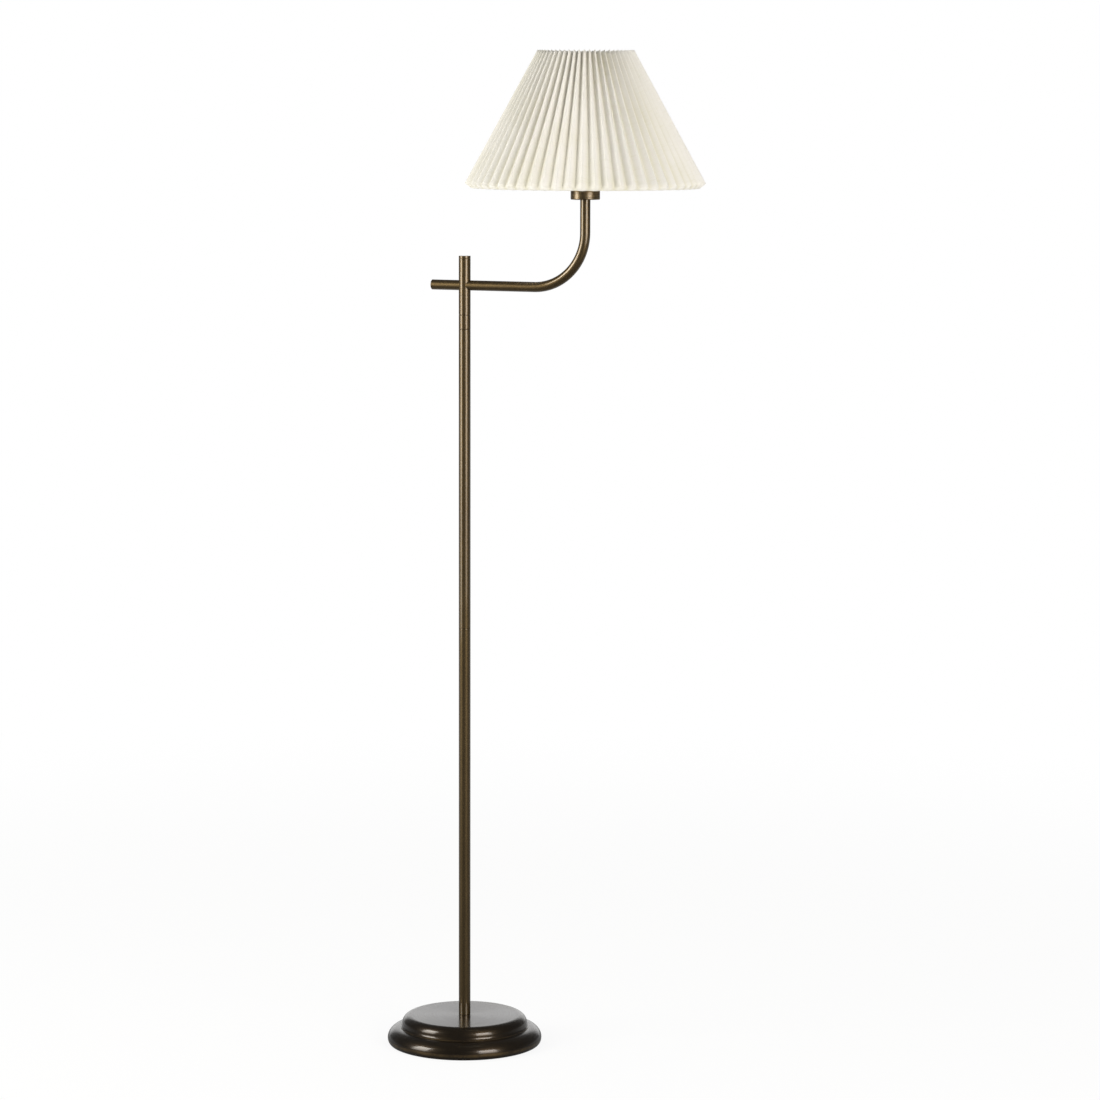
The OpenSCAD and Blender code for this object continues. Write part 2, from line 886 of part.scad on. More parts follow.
// Ring nut that clamps the fitter on the socket's shoulder
module shade_ring_nut() {
    grips = 12;
    outer_r = sleeve_d / 2 + 3.4;
    color(bakelite)
    translate([reach, 0, shoulder_z + fitter_t])
        difference() {
            cylinder(r = outer_r, h = nut_ring_h);
            translate([0, 0, -1])
                cylinder(r = sleeve_d / 2 + thread_fit, h = nut_ring_h + 2);
            for (i = [0:grips - 1])
                rotate([0, 0, 360 * i / grips])
                translate([outer_r + 0.6, 0, 1])
                cylinder(r = 1.4, h = nut_ring_h, $fn = 24);
        }
}

base_shell();
base_weight();
base_pad();
base_washer();
base_nut();
base_nipple();
cord_bushing();
lower_pole();
lower_foot_bush();
lower_head_bush();
pole_coupler();
upper_pole();
upper_foot_bush();
upper_head_bush();
swivel_collar();
swivel_spindle();
swivel_stop_pin();
swivel_washer();
swivel_spring();
swivel_nut();
arm_post();
post_bearing();
post_cap();
arm_tube();
arm_end_cap();
riser_plug();
socket_cup();
cup_nut();
socket_body();
screw_shell();
centre_contact();
switch_block();
switch_shaft();
switch_knob();
shade_ring_nut();
shade_fitter();
shade_bottom_ring();
shade_top_ring();
shade_ribs();
shade_fabric();
bulb_glass();
bulb_cap();
bulb_contact();
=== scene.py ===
import math

import bmesh
import bpy
from mathutils import Matrix, Vector


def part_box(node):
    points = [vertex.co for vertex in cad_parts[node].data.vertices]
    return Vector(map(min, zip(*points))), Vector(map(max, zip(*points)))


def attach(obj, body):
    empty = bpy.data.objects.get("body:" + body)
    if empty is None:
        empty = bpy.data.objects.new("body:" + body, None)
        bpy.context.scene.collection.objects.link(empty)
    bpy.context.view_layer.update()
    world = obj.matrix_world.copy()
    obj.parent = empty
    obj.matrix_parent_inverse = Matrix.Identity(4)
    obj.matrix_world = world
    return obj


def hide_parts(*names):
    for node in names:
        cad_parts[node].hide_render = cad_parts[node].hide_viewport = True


# A bridge floor lamp: stepped bronze foot, slim pole, swivelling cross arm and a pleated shade.
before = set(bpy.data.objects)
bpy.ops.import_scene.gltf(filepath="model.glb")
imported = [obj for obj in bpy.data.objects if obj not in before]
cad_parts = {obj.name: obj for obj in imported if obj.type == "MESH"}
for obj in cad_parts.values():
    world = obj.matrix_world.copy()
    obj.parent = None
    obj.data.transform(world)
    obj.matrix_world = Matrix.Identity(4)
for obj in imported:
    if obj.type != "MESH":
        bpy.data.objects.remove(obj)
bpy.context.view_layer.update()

# ---- Camera ----
# It stands to the right of the pole and a little under shade height, and looks slightly down.
# A small roll keeps the pole upright in the picture.

yaw = math.radians(24)
pitch = math.radians(6.904)
roll = 0.0028
side_step = 0.1302
stand_off = 5.712
eye_height = 1.460
forward = Vector((-math.sin(yaw) * math.cos(pitch), math.cos(yaw) * math.cos(pitch), -math.sin(pitch)))
rightward = Vector((math.cos(yaw), math.sin(yaw), 0))
upward = rightward.cross(forward)
camera = bpy.data.objects.new("camera", bpy.data.cameras.new("camera"))
bpy.context.scene.collection.objects.link(camera)
camera.data.sensor_width = 36
camera.data.lens = 123.43
camera.data.clip_end = 60
turn = Matrix((rightward, upward, -forward)).transposed() @ Matrix.Rotation(roll, 3, "Z")
camera.matrix_world = Matrix.Translation((
    math.sin(yaw) * stand_off + math.cos(yaw) * side_step,
    -math.cos(yaw) * stand_off + math.sin(yaw) * side_step,
    eye_height)) @ turn.to_4x4()
bpy.context.scene.camera = camera
bpy.context.scene.view_settings.view_transform = "Standard"

# ---- Studio ----
# A white cove, with the dark half of the room behind the camera. A tall softbox stands on each
# side, so that the tubes show two upright streaks.


class Wire:
    """A socket of a node tree. Sums on it add Math nodes, and node() adds any other node. Without
    a socket it stands for the tree alone."""

    def __init__(self, tree, socket=None):
        self.tree = tree
        self.socket = socket

    def node(self, kind, settings=None, output=0, **values):
        """Adds a node: its settings first, then the values or links of its sockets. An underscore
        before a number names a socket by its place."""
        made = self.tree.nodes.new(kind)
        for key, value in (settings or {}).items():
            setattr(made, key, value)
        for key, value in values.items():
            key = int(key[1:]) if key[0] == "_" else key.replace("_", " ")
            if isinstance(value, Wire):
                self.tree.links.new(value.socket, made.inputs[key])
            else:
                made.inputs[key].default_value = value
        return Wire(self.tree, made.outputs[output] if made.outputs else None)

    def math(self, operation, *others):
        """A Math node on this value and the others."""
        return self.node("ShaderNodeMath", {"operation": operation},
                         **{f"_{place}": value for place, value in enumerate((self, *others))})

    def __add__(self, other):
        return self.math("ADD", other)

    def __sub__(self, other):
        return self.math("SUBTRACT", other)

    def __rsub__(self, other):
        return self.node("ShaderNodeMath", {"operation": "SUBTRACT"}, _0=other, _1=self)

    def __mul__(self, other):
        return self.math("MULTIPLY", other)

    def __truediv__(self, other):
        return self.math("DIVIDE", other)

    def __rtruediv__(self, other):
        return self.node("ShaderNodeMath", {"operation": "DIVIDE"}, _0=other, _1=self)

    __radd__ = __add__
    __rmul__ = __mul__

    def between(self, low, high, to_low=0.0, to_high=1.0, soft=True):
        """Maps low..high to to_low..to_high, and holds it at those ends."""
        kind = "SMOOTHSTEP" if soft else "LINEAR"
        return self.node("ShaderNodeMapRange", {"interpolation_type": kind}, Value=self,
                         From_Min=low, From_Max=high, To_Min=to_low, To_Max=to_high)

    def mix(self, first, second):
        """The first colour where this is 0, and the second where it is 1."""
        return self.node("ShaderNodeMix", {"data_type": "RGBA"}, output=2, _0=self, _6=first, _7=second)


def rgb(red, green, blue):
    return (red, green, blue, 1)


def empty_tree(owner):
    """The bare node tree of a material, a lamp or the world."""
    owner.use_nodes = True
    owner.node_tree.nodes.clear()
    return Wire(owner.node_tree)


def ray_kinds(wire):
    """Two values: 1 where the camera looks, straight or through glass, and 1 in a reflection."""
    kinds = wire.node("ShaderNodeLightPath").socket.node.outputs
    looked_at = Wire(wire.tree, kinds["Is Camera Ray"]) + Wire(wire.tree, kinds["Is Transmission Ray"])
    return looked_at.math("MINIMUM", 1), Wire(wire.tree, kinds["Is Glossy Ray"])


# The camera sees plain white. The lamp is lit by the room, brighter from above, and mirrors a
# dark room with a bright backdrop behind the lamp.
away_from_camera = (-math.sin(yaw), math.cos(yaw), 0)
mirrored_room = 0.08
world = bpy.data.worlds.new("studio")
bpy.context.scene.world = world
air = empty_tree(world)
looked_at, mirrored = ray_kinds(air)
toward = air.node("ShaderNodeTexCoord")
ahead = air.node("ShaderNodeVectorMath", {"operation": "DOT_PRODUCT"}, output=1,
                 _0=toward, _1=away_from_camera)
rise = air.node("ShaderNodeSeparateXYZ", output=2, Vector=toward)
backdrop = (ahead + (1 - mirrored) * 0.6).between(0.82, 0.96) * rise.between(0.4, 0.7, 1, 0)
room = mirrored * mirrored_room + (1 - mirrored) * rise.between(-0.2, 0.9, 0.22, 0.6)
air.node("ShaderNodeOutputWorld", Surface=air.node(
    "ShaderNodeBackground", Color=rgb(1, 1, 1),
    Strength=looked_at.math("MAXIMUM", backdrop.math("MAXIMUM", room))))

# The floor looks a little greyer near the lamp, keeps the shadow there, and is mirrored bright
# only behind the lamp.
floor_half = 12
floor_mesh = bpy.data.meshes.new("floor")
corners = [(x * floor_half, y * floor_half, 0) for x, y in ((-1, -1), (1, -1), (1, 1), (-1, 1))]
floor_mesh.from_pydata(corners, [], [(0, 1, 2, 3)])
floor = bpy.data.objects.new("floor", floor_mesh)
bpy.context.scene.collection.objects.link(floor)
paint = bpy.data.materials.new("floor")
pale = empty_tree(paint)
looked_at, mirrored = ray_kinds(pale)
spot = pale.node("ShaderNodeTexCoord", output=3)
distance = pale.node("ShaderNodeVectorMath", {"operation": "LENGTH"}, output=1, _0=spot)
behind = pale.node("ShaderNodeVectorMath", {"operation": "DOT_PRODUCT"}, output=1,
                   _0=spot, _1=away_from_camera)
matt = pale.node("ShaderNodeBsdfDiffuse", Color=rgb(0.86, 0.86, 0.85))
glow = pale.node("ShaderNodeEmission", Color=rgb(1, 1, 1),
                 Strength=behind.between(-0.3, 0.6, 0.1, 0.4).math("MAXIMUM", 1 - mirrored))
share = looked_at * distance.between(0.8, 3.0, 0.88, 1.0) + mirrored
pale.node("ShaderNodeOutputMaterial", Surface=pale.node(
    "ShaderNodeMixShader", _0=share.math("MINIMUM", 1), _1=matt, _2=glow))
floor_mesh.materials.append(paint)


def softbox(name, bearing, distance, width, power, tint, low=0.2, high=2.6):
    """An upright softbox at a bearing in degrees to the right of the camera, between two heights
    in metres. It fades toward its lower end."""
    light = bpy.data.lights.new(name, "AREA")
    light.shape = "RECTANGLE"
    light.size, light.size_y = width, high - low
    light.energy, light.color = power, tint
    front = empty_tree(light)
    up_the_front = front.node("ShaderNodeSeparateXYZ", output=1,
                              Vector=front.node("ShaderNodeNewGeometry", output=5))
    front.node("ShaderNodeOutputLight", Surface=front.node(
        "ShaderNodeEmission", Strength=up_the_front.between(0, 0.6, 0.35, 1.4, soft=False)))
    lamp = bpy.data.objects.new(name, light)
    bpy.context.scene.collection.objects.link(lamp)
    angle = yaw + math.radians(bearing)
    place = Vector((math.sin(angle) * distance, -math.cos(angle) * distance, (low + high) / 2))
    lamp.matrix_world = Matrix.Translation(place) @ Vector(
        (-place.x, -place.y, 0)).to_track_quat("-Z", "Y").to_matrix().to_4x4()


softbox("softbox_left", -69, 3.0, 1.4, 76, (1.0, 0.98, 0.93))
softbox("softbox_right", 37, 3.6, 1.8, 80, (1.0, 0.965, 0.94))

# ---- Foot ----
# Spun sheet steel in two steps over an iron weight, plated, browned and lacquered. The lacquer
# is glossy. Along the crease and the rolled edge the brown is lighter: rubbed thin, and a
# painted highlight.

MM = 0.001
foot_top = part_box("base_shell")[1].z / MM
foot_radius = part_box("base_shell")[1].x / MM
step_radius, shoulder_width, shoulder_drop = 96.5, 14.0, 13.0
cove_width, crease, crease_drop = 3.0, 26.5, 0.8
roll_height, roll_width = 9.0, 5.0
sheet_gauge, floor_clearance, screw_hole = 1.5, 0.2, 5.05
rim_flat, pad_recess, pad_ledge = 1.8, 2.7, 6.0


def arc(x, z, across, up, start, end, steps):
    """Points of an elliptical arc in a (radius, height) section, in mm, angles in degrees."""
    angles = [math.radians(start + (end - start) * i / steps) for i in range(steps + 1)]
    return [(x + across * math.cos(angle), z + up * math.sin(angle)) for angle in angles]


def new_piece(name, mesh, body, material, material_slot, *nodes):
    """A finished mesh as a piece that rides on a body and stands for some solids."""
    piece = bpy.data.objects.new(name, mesh)
    bpy.context.scene.collection.objects.link(piece)
    mesh.materials.clear()
    mesh.materials.append(material)
    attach(piece, body)
    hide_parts(*nodes)
    return piece


def spun(name, outline, centre=0.0, sides=192, closed=False, crisp=28):
    """Turns an outline of (radius, height) points in mm round an upright axis. The UV map is in
    metres: round the widest girth, and along the outline."""
    shape = bmesh.new()
    uv = shape.loops.layers.uv.new("UVMap")
    girth = 2 * math.pi * max(r for r, z in outline) * MM
    rings = [[shape.verts.new((centre + r * MM * math.cos(2 * math.pi * k / sides),
                               r * MM * math.sin(2 * math.pi * k / sides), z * MM)) for r, z in outline]
             for k in range(sides)]
    loop = outline + outline[:1] if closed else outline
    runs = [0.0]
    for (r0, z0), (r1, z1) in zip(loop, loop[1:]):
        runs.append(runs[-1] + math.hypot(r1 - r0, z1 - z0) * MM)
    for k in range(sides):
        for j in range(len(loop) - 1):
            corners = ((k, j), (k + 1, j), (k + 1, j + 1), (k, j + 1))
            face = shape.faces.new([rings[a % sides][b % len(outline)] for a, b in corners])
            face.smooth = True
            for corner, (a, b) in zip(face.loops, corners):
                corner[uv].uv = (a / sides * girth, runs[b])
    bmesh.ops.remove_doubles(shape, verts=shape.verts, dist=1e-7)
    bmesh.ops.recalc_face_normals(shape, faces=shape.faces)
    mesh = bpy.data.meshes.new(name)
    shape.to_mesh(mesh)
    shape.free()
    mesh.set_sharp_from_angle(angle=math.radians(crisp))
    return mesh


def new_material(name):
    """A material, its node tree, and the place on the object in metres."""
    material = bpy.data.materials.new(name)
    wire = empty_tree(material)
    return material, wire, wire.node("ShaderNodeTexCoord", output=3)


def finish_with(wire, **sockets):
    """The last nodes of a material: its shader and the output."""
    wire.node("ShaderNodeOutputMaterial", Surface=wire.node("ShaderNodeBsdfPrincipled", **sockets))


def stretched_noise(wire, skin, stretch, detail, roughness=0.5):
    """Noise on the UV map, with a scale of its own in each direction."""
    stretched = wire.node("ShaderNodeMapping", Vector=skin, Scale=stretch)
    return wire.node("ShaderNodeTexNoise", {"noise_dimensions": "2D"}, Vector=stretched, Scale=1.0,
                     Detail=detail, Roughness=roughness)


def lacquered_bronze(name, dark, rubbed_and_highlight, wear_and_highlight, grain, rough=0.4, coat=0.06, turned=0.0):
    """Browned plate under gloss lacquer. The function given as the fourth argument tells where the
    brown
    is lighter: rubbed thin, and on the foot also a painted highlight. grain stretches the brushing.
    Turning lines draw the shine out across themselves by turned."""
    material, wire, place = new_material(name)
    skin = wire.node("ShaderNodeTexCoord", output=2)
    brushed = stretched_noise(wire, skin, grain, 3.0, 0.6)
    clouds = wire.node("ShaderNodeTexNoise", Scale=38.0, Detail=5.0, Roughness=0.62, Distortion=0.4,
                       Vector=place)
    drift = wire.node("ShaderNodeTexNoise", Scale=9.0, Detail=2.0, Roughness=0.5, Vector=place)
    # Lighter brown where rubbed thin; on the foot this is also a painted highlight
    thin_and_highlight = wear_and_highlight(wire, place) * clouds.between(0.25, 0.6)
    tone = (thin_and_highlight + drift.between(0.4, 0.75, 0, 0.16) + clouds.between(0.5, 0.8, 0, 0.14)
            + (brushed - 0.5) * 0.22)
    relief = wire.node("ShaderNodeBump", Strength=0.12, Distance=0.00005, Height=brushed + clouds * 0.5)
    finish_with(wire, Base_Color=tone.between(0, 1, soft=False).mix(dark, rubbed_and_highlight), Metallic=0.9,
                Roughness=brushed.between(0.3, 0.7, rough - 0.04, rough + 0.05), Normal=relief,
                Coat_Weight=clouds.between(0.2, 0.8, 1.0, 0.9), Coat_Roughness=coat, Coat_IOR=1.5,
                Anisotropic=turned, Anisotropic_Rotation=0.25)
    return material


def foot_outline(inset):
    """The foot's side from the flat top to its widest line, drawn in by inset."""
    dome_x, shoulder_z = step_radius + cove_width, foot_top - shoulder_drop
    return (arc(step_radius - shoulder_width, shoulder_z, shoulder_width - inset,
                shoulder_drop - inset, 90, 0, 20)
            + arc(dome_x, shoulder_z, cove_width + inset, shoulder_z - crease + inset, 186, 255, 10)
            + arc(dome_x, roll_height, foot_radius - dome_x - inset,
                  crease - crease_drop - roll_height - inset, 90, 0, 24))


def roll_outline(inset, end):
    """The edge that is rolled under the dome, from the widest line to an angle."""
    return arc(foot_radius - roll_width, roll_height, roll_width - inset,
               roll_height - floor_clearance - inset, -6, end, 12)


rim_radius = foot_radius - roll_width - rim_flat
ledge_radius = rim_radius - pad_ledge
shell_outline = ([(screw_hole, foot_top)] + foot_outline(0) + roll_outline(0, -90)
                 + [(rim_radius, floor_clearance), (rim_radius, pad_recess), (ledge_radius, pad_recess),
                    (ledge_radius, pad_recess + sheet_gauge)]
                 + roll_outline(sheet_gauge, -41)[::-1] + foot_outline(sheet_gauge)[::-1]
                 + [(screw_hole, foot_top - sheet_gauge)])


def foot_wear_and_highlight(wire, place):
    """Lighter in a thin line along the crease, and in a band at the rolled edge: rubbed wear, and a
    painted highlight.
    """
    height = wire.node("ShaderNodeSeparateXYZ", output=2, Vector=place)

    def band(middle, reach, strength):
        return (height - middle).math("ABSOLUTE").between(reach * 0.2, reach, strength, 0)

    # A thin line at the crease and a band near the bottom: wear and painted highlight
    return band(crease * MM, 0.0008, 0.6).math("MAXIMUM", band(0.0075, 0.0035, 0.8))


round_the_piece = (10, 1500, 1)
foot_bronze = lacquered_bronze(
    "foot bronze", rgb(0.028, 0.019, 0.011), rgb(0.17, 0.115, 0.05), foot_wear_and_highlight, round_the_piece,
    rough=0.38, coat=0.15, turned=0.6)
new_piece("foot_shell", spun("foot_shell", shell_outline, sides=256, closed=True), "stand", foot_bronze,
          "base_bronze", "base_shell")


def carry(material, *nodes):
    """Gives solids that stay as they are their material."""
    for name in nodes:
        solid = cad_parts[name]
        solid.data.materials.clear()
        solid.data.materials.append(material)


def zinc_plated():
    """Satin zinc with the fine mottle that plating leaves."""
    material, wire, place = new_material("zinc-plated steel")
    mottle = wire.node("ShaderNodeTexNoise", Scale=220.0, Detail=4.0, Roughness=0.6, Vector=place)
    cast = wire.node("ShaderNodeTexNoise", Scale=40.0, Detail=2.0, Vector=place)
    finish_with(wire, Metallic=1.0,
                Base_Color=cast.between(0.35, 0.65).mix(rgb(0.50, 0.50, 0.49), rgb(0.62, 0.61, 0.57)),
                Roughness=mottle.between(0.3, 0.7, 0.26, 0.46),
                Normal=wire.node("ShaderNodeBump", Strength=0.12, Distance=0.0001, Height=mottle))
    return material


def black_rubber():
    """Moulded rubber: nearly black, dusty and slightly grained."""
    material, wire, place = new_material("black rubber")
    grain = wire.node("ShaderNodeTexNoise", Scale=1400.0, Detail=2.0, Vector=place)
    dust = wire.node("ShaderNodeTexNoise", Scale=30.0, Detail=5.0, Roughness=0.65, Vector=place)
    finish_with(wire,
                Base_Color=dust.between(0.45, 0.8).mix(
                    rgb(0.018, 0.018, 0.019), rgb(0.07, 0.067, 0.062)),
                Roughness=dust.between(0.3, 0.7, 0.62, 0.85),
                Normal=wire.node("ShaderNodeBump", Strength=0.25, Distance=0.0001, Height=grain))
    return material


def rough_iron():
    """Sand-cast iron with a dull grey skin."""
    material, wire, place = new_material("cast iron")
    sand = wire.node("ShaderNodeTexNoise", Scale=420.0, Detail=6.0, Roughness=0.7, Vector=place)
    stain = wire.node("ShaderNodeTexNoise", Scale=22.0, Detail=4.0, Vector=place)
    finish_with(wire, Metallic=0.7,
                Base_Color=stain.between(0.4, 0.7).mix(rgb(0.09, 0.09, 0.095), rgb(0.13, 0.085, 0.055)),
                Roughness=sand.between(0.3, 0.7, 0.55, 0.8),
                Normal=wire.node("ShaderNodeBump", Strength=0.6, Distance=0.0004, Height=sand))
    return material


plated_steel = zinc_plated()
rubber = black_rubber()
carry(rough_iron(), "base_weight")
carry(plated_steel, "base_washer", "base_nut", "base_nipple")
carry(rubber, "base_pad", "cord_bushing")

# ---- Pole ----
# Two lengths of steel tube in the same browned and lacquered plate, screwed together over a
# hollow screw in pressed bushes. The bevelled ends leave a fine dark groove at the joint.

pole_radius, pole_bore, end_bevel = 9.0, 7.8, 0.6
along_the_tube = (900, 14, 1)


def tube_outline(low, high, outer, inner, bevel_low, bevel_high):
    """Section of a tube with rounded bevels at its ends, in mm. A short strip next to each bevel
    keeps the shading of the long wall straight."""
    strip = 0.5
    return ([(inner, low)] + arc(outer - bevel_low, low + bevel_low, bevel_low, bevel_low, -90, 0, 3)
            + [(outer, low + bevel_low + strip), (outer, high - bevel_high - strip)]
            + arc(outer - bevel_high, high - bevel_high, bevel_high, bevel_high, 0, 90, 3)
            + [(inner, high)])


def tube_wear(wire, place):
    """Handling thins the brown a little in long soft patches."""
    return wire.node("ShaderNodeTexNoise", Scale=1.0, Detail=3.0, Roughness=0.55, Vector=wire.node(
        "ShaderNodeMapping", Vector=place, Scale=(30, 30, 5))).between(0.42, 0.75, 0, 0.2)


tube_bronze = lacquered_bronze(
    "tube bronze", rgb(0.115, 0.078, 0.033), rgb(0.175, 0.122, 0.055), tube_wear, along_the_tube)


def upright_tube(name, bore, bevel_low, bevel_high, body, node):
    """A browned tube as wide as the pole in place of a node, with the bevels at its two ends."""
    low, high = (corner.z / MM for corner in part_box(node))
    outline = tube_outline(low, high, pole_radius, bore, bevel_low, bevel_high)
    new_piece(name, spun(name, outline, sides=96, closed=True), body, tube_bronze, "bronze", node)


upright_tube("lower_pole_tube", pole_bore, end_bevel / 2, end_bevel, "stand", "lower_pole")
upright_tube("upper_pole_tube", pole_bore, end_bevel, end_bevel, "stand", "upper_pole")
carry(plated_steel, "lower_foot_bush", "lower_head_bush", "pole_coupler", "upper_foot_bush",
      "upper_head_bush")

# ---- Swivel ----
# A short collar closes the pole. The spindle stands in it with a stop pin beside it, and a
# cone washer under a nut gives the friction. Only the collar shows.

spindle_hole = 5.0
upright_tube("collar_ring", spindle_hole, end_bevel, end_bevel, "stand", "swivel_collar")
carry(plated_steel, "swivel_spindle", "swivel_stop_pin", "swivel_spring", "swivel_nut", "post_bearing")
carry(rubber, "swivel_washer")

# ---- Post and cap ----
# The post turns on the spindle. It is a cut of the pole's tube with a cross hole that the arm
# passes through, and a turned cap is pressed into its top.

post_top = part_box("arm_post")[1].z / MM
cap_thickness, press_gap = 5.0, 0.02
upright_tube("post_tube", pole_bore, end_bevel, end_bevel / 2, "arm", "arm_post")


def cap_outline(seat, radius, stem_radius, thickness, stem=8.0, bevel=0.5):
    """A turned cap with a stem, in mm; it lies on seat."""
    return ([(0, seat - stem), (stem_radius, seat - stem), (stem_radius, seat)]
            + arc(radius - bevel / 2, seat + bevel / 2, bevel / 2, bevel / 2, -90, 0, 3)
            + arc(radius - bevel, seat + thickness - bevel, bevel, bevel, 0, 90, 5)
            + [(0, seat + thickness)])


post_button = spun("post_button", cap_outline(
    post_top, pole_radius, pole_bore - press_gap, cap_thickness), sides=96)
new_piece("post_button", post_button, "arm", tube_bronze, "bronze", "post_cap")

# ---- Cross arm ----
# One steel tube, straight through the post, then bent up in a quarter circle. Its short end
# is closed by a turned cap.

arm_radius, arm_bore, bend_radius, button_thickness = 7.7, 6.4, 82.5, 1.6
arm_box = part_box("arm_tube")
stub_end, riser_top = arm_box[0].x / MM, arm_box[1].z / MM
arm_height = arm_box[0].z / MM + arm_radius
reach = arm_box[1].x / MM - arm_radius


def swept(name, path, radius, bore, sides=64):
    """A round tube with its bore, along a path of (point, direction) pairs in the plane y = 0, in
    mm. The UV map is in metres: round the girth, and along the tube."""
    shape = bmesh.new()
    uv = shape.loops.layers.uv.new("UVMap")
    skin = [(radius, i) for i in range(len(path))] + [(bore, i) for i in reversed(range(len(path)))]
    runs = [0.0]
    for (p, _), (q, _) in zip(path, path[1:]):
        runs.append(runs[-1] + (q - p).length)
    rings = []
    for size, i in skin:
        point, along = path[i]
        across, sideways = Vector((along.z, 0, -along.x)), Vector((0, 1, 0))
        rings.append([shape.verts.new((point + size * (math.cos(2 * math.pi * k / sides) * across
                      + math.sin(2 * math.pi * k / sides) * sideways)) * MM) for k in range(sides)])
    for j in range(len(rings)):
        for k in range(sides):
            corners = ((j, k), (j, k + 1), (j + 1, k + 1), (j + 1, k))
            face = shape.faces.new([rings[a % len(rings)][b % sides] for a, b in corners])
            face.smooth = True
            for corner, (a, b) in zip(face.loops, corners):
                run = runs[skin[a % len(skin)][1]]
                corner[uv].uv = (b / sides * 2 * math.pi * radius * MM, run * MM)
    bmesh.ops.recalc_face_normals(shape, faces=shape.faces)
    mesh = bpy.data.meshes.new(name)
    shape.to_mesh(mesh)
    shape.free()
    mesh.set_sharp_from_angle(angle=math.radians(40))
    return mesh


bend_x, bend_z = reach - bend_radius, arm_height + bend_radius
level_steps, bend_steps, riser_steps = 24, 40, 6
arm_path = []
for i in range(level_steps + 1):
    x = stub_end + (bend_x - stub_end) * i / level_steps
    arm_path.append((Vector((x, 0, arm_height)), Vector((1, 0, 0))))
for i in range(1, bend_steps + 1):
    angle = math.pi / 2 * i / bend_steps
    along = Vector((math.cos(angle), 0, math.sin(angle)))
    x, z = bend_x + bend_radius * along.z, bend_z - bend_radius * along.x
    arm_path.append((Vector((x, 0, z)), along))
for i in range(1, riser_steps + 1):
    z = bend_z + (riser_top - bend_z) * i / riser_steps
    arm_path.append((Vector((reach, 0, z)), Vector((0, 0, 1))))
cross_arm = swept("cross_arm", arm_path, arm_radius, arm_bore)
new_piece("cross_arm", cross_arm, "arm", tube_bronze, "bronze", "arm_tube")
end_button = spun("end_button", cap_outline(
    0, arm_radius, arm_bore - press_gap, button_thickness), sides=96)
end_button.transform(Matrix.Translation((stub_end * MM, 0, arm_height * MM))
                     @ Matrix.Rotation(-math.pi / 2, 4, "Y"))
new_piece("end_button", end_button, "arm", tube_bronze, "bronze", "arm_end_cap")
carry(plated_steel, "riser_plug")

# ---- Cup ----
# A turned brass cup at the riser's end, brushed round and round and browned more lightly than
# the rest. A nut inside it draws it onto the riser.

cup_low, cup_high = (corner.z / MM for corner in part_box("socket_cup"))
cup_radius = (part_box("socket_cup")[1].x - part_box("socket_cup")[0].x) / 2 / MM
cup_wall, cup_floor, cup_lip = 1.2, 1.5, 0.3


def brushed_brass():
    """Antique brass with clear turning lines and a cloudy brown."""
    material, wire, place = new_material("antique brass")
    skin = wire.node("ShaderNodeTexCoord", output=2)
    lines = stretched_noise(wire, skin, (9, 2600, 1), 4.0, 0.7)
    broad = stretched_noise(wire, skin, (20, 520, 1), 2.0, 0.6)
    clouds = wire.node("ShaderNodeTexNoise", Scale=60.0, Detail=4.0, Roughness=0.6, Vector=place)
    tone = lines * 0.5 + broad * 0.5 + (clouds - 0.5) * 0.5
    finish_with(wire, Metallic=1.0,
                Base_Color=tone.between(0.32, 0.68).mix(
                    rgb(0.085, 0.060, 0.032), rgb(0.27, 0.195, 0.105)),
                Roughness=lines.between(0.3, 0.7, 0.34, 0.46), Coat_Weight=0.6, Coat_Roughness=0.12,
                Normal=wire.node("ShaderNodeBump", Strength=0.5, Distance=0.00008,
                                 Height=lines + broad))
    return material


cup_outline = ([(screw_hole, cup_low + cup_floor), (screw_hole, cup_low)]
               + arc(cup_radius - cup_wall, cup_low + cup_wall, cup_wall, cup_wall, -90, 0, 6)
               + arc(cup_radius - cup_lip, cup_high - cup_lip, cup_lip, cup_lip, 0, 90, 3)
               + [(cup_radius - cup_wall, cup_high), (cup_radius - cup_wall, cup_low + cup_floor)])
cup_shell = spun("cup_shell", cup_outline, centre=reach * MM, sides=128, closed=True)
new_piece("cup_shell", cup_shell, "arm", brushed_brass(), "antique_brass", "socket_cup")
carry(plated_steel, "cup_nut")

# ---- Socket and switch ----
# A moulded housing with a threaded sleeve, a brass screw shell and contact inside it, and a
# turn switch whose fluted knob stands out to one side.


def dark_moulding():
    """Dark brown moulding with a soft shine and faint flow marks."""
    material, wire, place = new_material("dark moulding")
    flow = wire.node("ShaderNodeTexNoise", Scale=55.0, Detail=3.0, Distortion=1.2, Vector=place)
    grain = wire.node("ShaderNodeTexNoise", Scale=1600.0, Detail=1.0, Vector=place)
    finish_with(wire,
                Base_Color=flow.between(0.35, 0.7).mix(
                    rgb(0.016, 0.010, 0.007), rgb(0.030, 0.018, 0.012)),
                Roughness=flow.between(0.3, 0.7, 0.24, 0.38),
                Normal=wire.node("ShaderNodeBump", Strength=0.1, Distance=0.00005, Height=grain))
    return material


def stamped_brass():
    """Bright yellow brass, drawn and a little tarnished."""
    material, wire, place = new_material("stamped brass")
    tarnish = wire.node("ShaderNodeTexNoise", Scale=90.0, Detail=5.0, Roughness=0.6, Vector=place)
    finish_with(wire, Metallic=1.0,
                Base_Color=tarnish.between(0.4, 0.75).mix(rgb(0.72, 0.52, 0.20), rgb(0.42, 0.27, 0.10)),
                Roughness=tarnish.between(0.3, 0.7, 0.2, 0.4),
                Normal=wire.node("ShaderNodeBump", Strength=0.08, Distance=0.0001, Height=tarnish))
    return material


